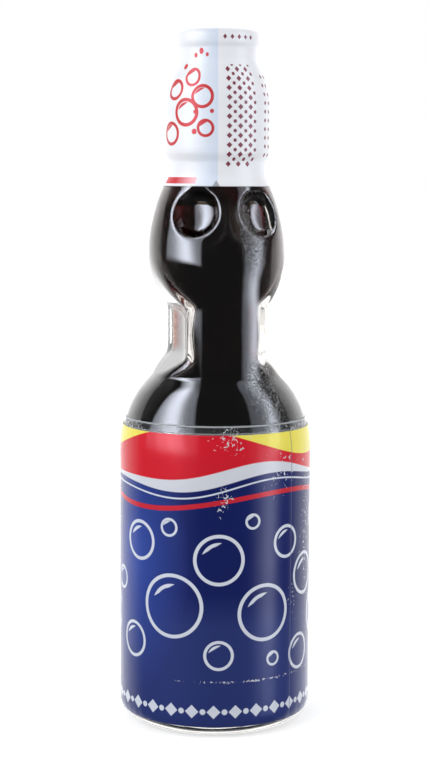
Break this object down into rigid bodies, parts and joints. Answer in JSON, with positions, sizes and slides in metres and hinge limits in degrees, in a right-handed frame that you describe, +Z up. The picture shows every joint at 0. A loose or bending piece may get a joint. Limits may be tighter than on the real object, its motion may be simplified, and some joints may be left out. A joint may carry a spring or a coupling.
{
  "type": "marble stopper bottle",
  "caption": "Glass soda bottle that a captive marble seals from inside, with a pinched waist, a dimpled chamber, a plunger opener under a shrink seal and a printed label.",
  "frame": {"origin": "centre of the foot, on the surface that the bottle stands on", "axes": "+Z up along the bottle's axis, -Y the front that the two dimples face, +X to the right seen from the front"},
  "size_m": [0.057, 0.057, 0.2045],
  "materials": {
    "glass": "polished",
    "drink": null,
    "label_film": "printed shrink film",
    "gasket": "matte",
    "marble": "polished",
    "cap": "moulded",
    "opener": "moulded",
    "seal_film": "printed shrink film"
  },
  "bodies": {
    "bottle": {"glass_bottle": "glass", "drink": "drink", "body_label": "label_film", "gasket": "gasket", "mouth_cap": "cap"},
    "ball": {"marble": "marble"},
    "pusher": {"plunger": "opener"},
    "seal": {"opener_ring": "opener", "neck_seal": "seal_film"}
  },
  "joints": [
    {"name": "plunger_push", "type": "slide", "parent": "bottle", "child": "pusher", "axis": [0, 0, -1], "range_m": [0, 0.0095]},
    {"name": "marble_drop", "type": "slide", "parent": "bottle", "child": "ball", "axis": [0, 0, -1], "range_m": [0, 0.0494], "deforming": ["drink"]},
    {"name": "seal_lift", "type": "slide", "parent": "bottle", "child": "seal", "axis": [0, 0, 1], "range_m": [0, 0.048], "deforming": ["neck_seal"]}
  ],
  "couplings": [
    {"joint": "marble_drop", "follows": "plunger_push", "ratio": 5.2}
  ]
}
